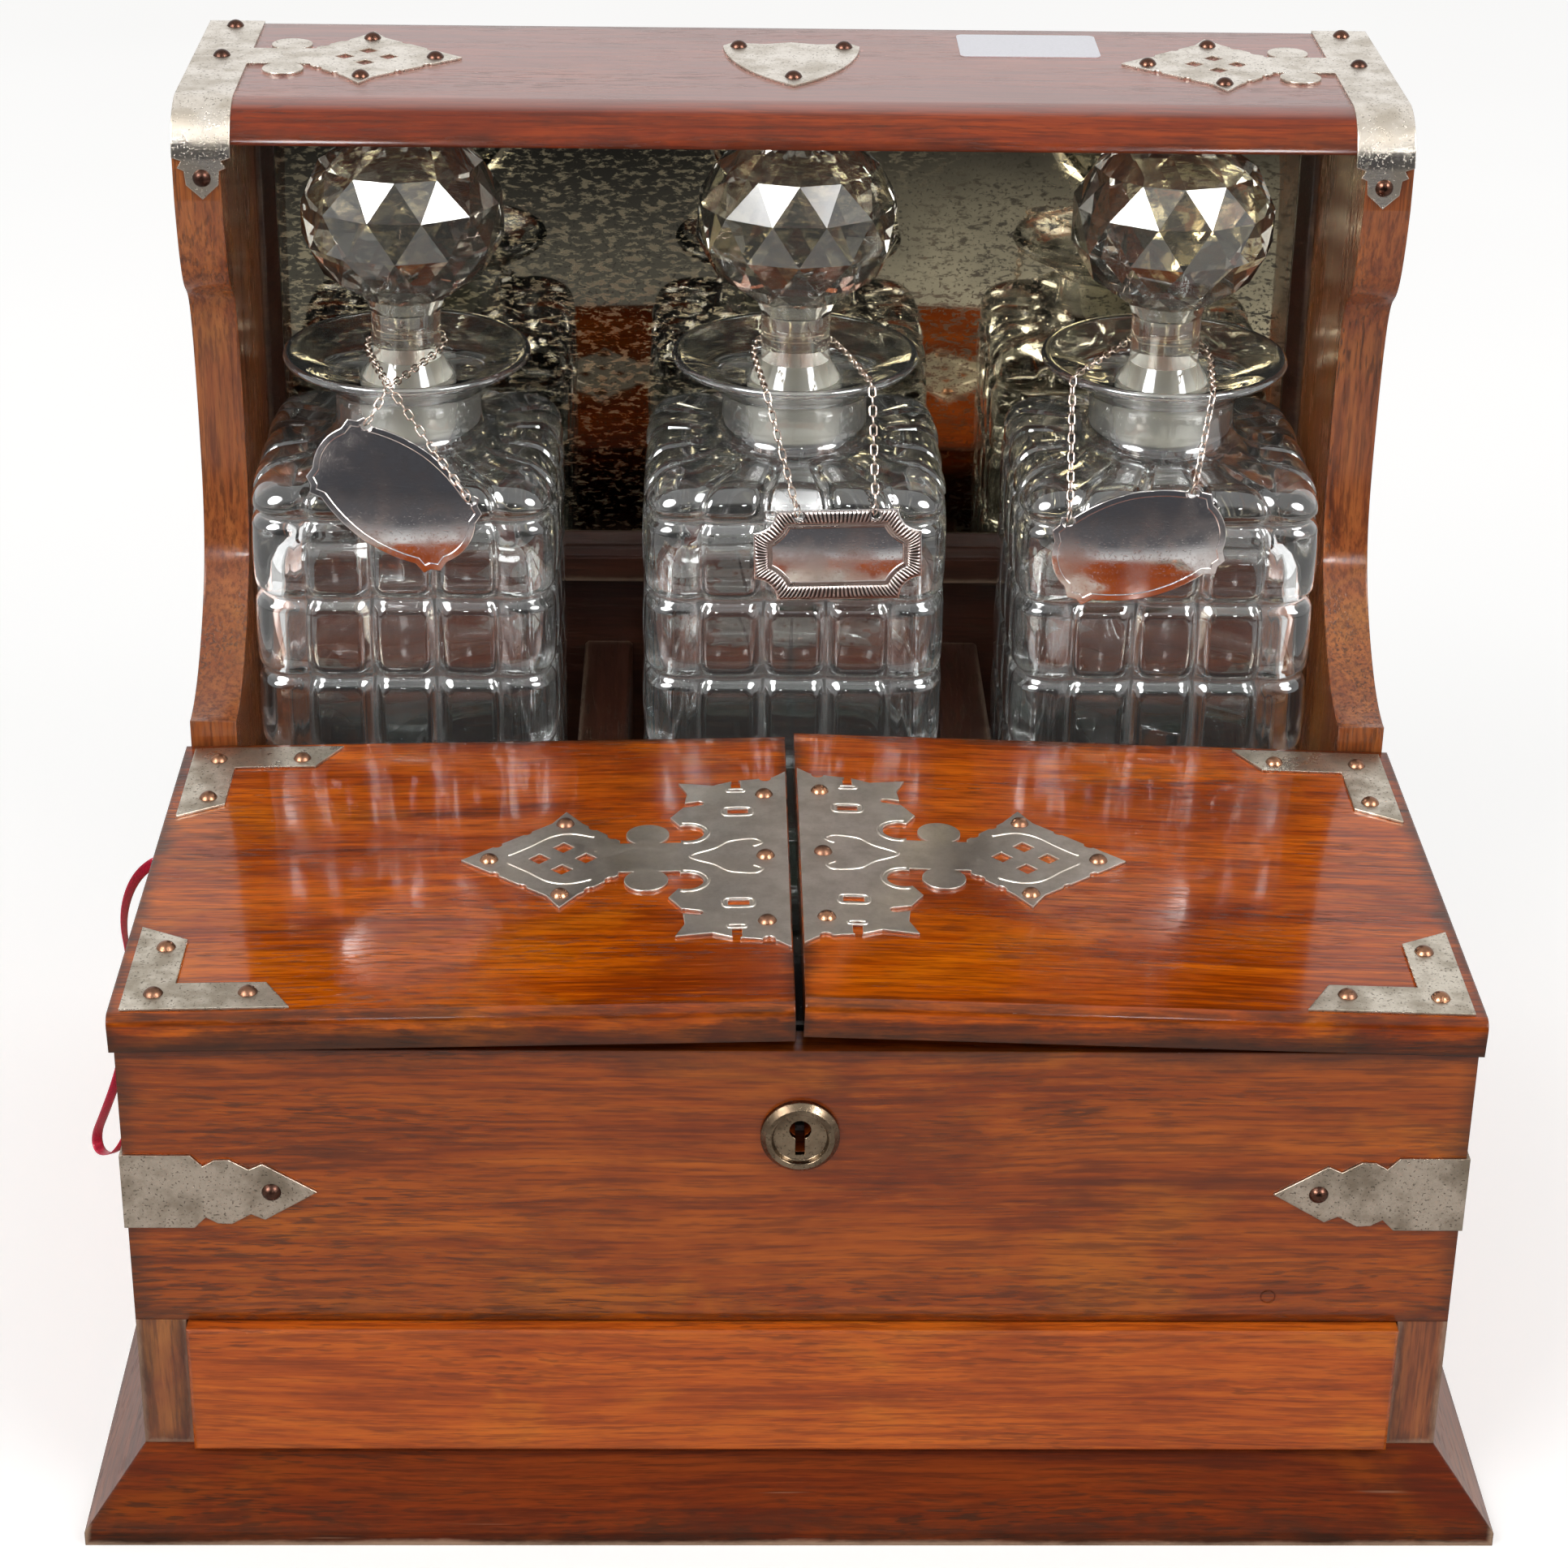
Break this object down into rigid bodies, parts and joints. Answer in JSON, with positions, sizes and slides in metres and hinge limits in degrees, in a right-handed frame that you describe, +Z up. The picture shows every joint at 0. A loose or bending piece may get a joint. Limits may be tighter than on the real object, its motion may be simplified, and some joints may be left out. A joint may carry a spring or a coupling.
{
  "type": "tantalus",
  "caption": "Oak tantalus case with stoppered cut-glass decanters before a mirror, hinged lids over a compartment, a drawer below, and nickel mounts.",
  "frame": {"origin": "centre of the plinth's underside", "axes": "+X to the viewer's right along the front, +Y from the drawer front to the back panel, +Z up"},
  "size_m": [0.3719, 0.29, 0.33],
  "materials": {
    "oak": "glossy varnish over fine straight grain, worn at the edges",
    "oak_red": "glossy red-brown varnish",
    "oak_dark": "dark varnish with paler rubbed mitres",
    "drawer_oak": "satin, lighter and more orange than the case",
    "plain_oak": "bare, unpolished inner faces",
    "dark_rail": "polished dark moulding",
    "nickel": "aged nickel plate, specked, with bright rubbed edges",
    "rivet_bronze": "worn bronze-coloured domes",
    "old_brass": "dull brass",
    "lock_steel": "dull steel",
    "crystal": "clear cut glass",
    "mirror_plate": "foxed and clouded silvering",
    "silver": "polished silver with a rosy tone",
    "chain_silver": "small worn silver links",
    "baize": "thin dark green felt",
    "ribbon_satin": "crimson satin",
    "label_paper": "plain white sticker, blank"
  },
  "bodies": {
    "case": {"plinth_front": "oak_dark", "plinth_sides": "oak_dark", "plinth_back": "oak_dark", "base_board": "plain_oak", "side_left": "oak_red", "side_right": "oak_red", "front_panel": "oak", "deck_board": "plain_oak", "back_panel": "oak_dark", "canopy_board": "oak_red", "dividers": "dark_rail", "baize_pads": "baize", "mirror_glass": "mirror_plate", "mirror_beads": "dark_rail", "mirror_rail": "dark_rail", "canopy_straps": "nickel", "shield_plaque": "nickel", "paper_label": "label_paper", "front_straps": "nickel", "escutcheon": "nickel", "case_rivets": "rivet_bronze", "lock_case": "lock_steel", "hinge_case_leaves": "old_brass", "hinge_pins": "lock_steel", "drawer_spring": "lock_steel", "handle_posts": "nickel", "ribbon": "ribbon_satin", "key": "old_brass"},
    "lid_left": {"lid_board_left": "oak", "lid_corners_left": "nickel", "lid_strap_left": "nickel", "lid_rivets_left": "rivet_bronze", "lid_hinges_left": "old_brass", "lid_staple_left": "lock_steel"},
    "lid_right": {"lid_board_right": "oak", "lid_corners_right": "nickel", "lid_strap_right": "nickel", "lid_rivets_right": "rivet_bronze", "lid_hinges_right": "old_brass", "lid_staple_right": "lock_steel"},
    "drawer": {"drawer_front": "drawer_oak", "drawer_sides": "plain_oak", "drawer_back": "plain_oak", "drawer_bottom": "plain_oak"},
    "release_pin": {"release_pin": "old_brass"},
    "lock_bolt": {"lock_bolt": "lock_steel"},
    "decanter_left": {"decanter_left": "crystal", "chain_left": "chain_silver"},
    "stopper_left": {"stopper_left": "crystal"},
    "label_left": {"label_left": "silver"},
    "decanter_middle": {"decanter_middle": "crystal", "chain_middle": "chain_silver"},
    "stopper_middle": {"stopper_middle": "crystal"},
    "label_middle": {"label_middle": "silver"},
    "decanter_right": {"decanter_right": "crystal", "chain_right": "chain_silver"},
    "stopper_right": {"stopper_right": "crystal"},
    "label_right": {"label_right": "silver"},
    "handle_bail_left": {"handle_bail_left": "nickel"},
    "handle_bail_right": {"handle_bail_right": "nickel"}
  },
  "joints": [
    {"name": "lid_left_hinge", "type": "hinge", "parent": "case", "child": "lid_left", "pos_m": [-0.1712, 0, 0.142], "axis": [0, -1, 0], "range_deg": [0, 100]},
    {"name": "lid_right_hinge", "type": "hinge", "parent": "case", "child": "lid_right", "pos_m": [0.1712, 0, 0.142], "axis": [0, 1, 0], "range_deg": [0, 100]},
    {"name": "drawer_slide", "type": "slide", "parent": "case", "child": "drawer", "axis": [0, -1, 0], "range_m": [0, 0.15]},
    {"name": "release_pin_slide", "type": "slide", "parent": "case", "child": "release_pin", "axis": [0, 0, 1], "range_m": [-0.0055, 0.004]},
    {"name": "lock_bolt_slide", "type": "slide", "parent": "case", "child": "lock_bolt", "axis": [1, 0, 0], "range_m": [0, 0.004]},
    {"name": "decanter_left_slide", "type": "slide", "parent": "case", "child": "decanter_left", "axis": [0, -1, 0], "range_m": [0, 0.012]},
    {"name": "stopper_left_lift", "type": "slide", "parent": "decanter_left", "child": "stopper_left", "axis": [0, 0, 1], "range_m": [0, 0.002]},
    {"name": "label_left_swing", "type": "hinge", "parent": "decanter_left", "child": "label_left", "pos_m": [-0.10418, 0.03632, 0.23273], "axis": [-0.809, 0.0919, 0.5805], "range_deg": [0, 20]},
    {"name": "decanter_middle_slide", "type": "slide", "parent": "case", "child": "decanter_middle", "axis": [0, -1, 0], "range_m": [0, 0.012]},
    {"name": "stopper_middle_lift", "type": "slide", "parent": "decanter_middle", "child": "stopper_middle", "axis": [0, 0, 1], "range_m": [0, 0.002]},
    {"name": "label_middle_swing", "type": "hinge", "parent": "decanter_middle", "child": "label_middle", "pos_m": [0.01288, 0.03436, 0.21855], "axis": [-0.9996, -0.0019, -0.0279], "range_deg": [0, 20]},
    {"name": "decanter_right_slide", "type": "slide", "parent": "case", "child": "decanter_right", "axis": [0, -1, 0], "range_m": [0, 0.012]},
    {"name": "stopper_right_lift", "type": "slide", "parent": "decanter_right", "child": "stopper_right", "axis": [0, 0, 1], "range_m": [0, 0.002]},
    {"name": "label_right_swing", "type": "hinge", "parent": "decanter_right", "child": "label_right", "pos_m": [0.09519, 0.03443, 0.22149], "axis": [-0.9703, -0.0211, -0.241], "range_deg": [0, 20]},
    {"name": "handle_left_swing", "type": "hinge", "parent": "case", "child": "handle_bail_left", "pos_m": [-0.176, 0.006, 0.112], "axis": [0, 1, 0], "range_deg": [0, 90]},
    {"name": "handle_right_swing", "type": "hinge", "parent": "case", "child": "handle_bail_right", "pos_m": [0.176, 0.006, 0.112], "axis": [0, -1, 0], "range_deg": [0, 90]}
  ]
}
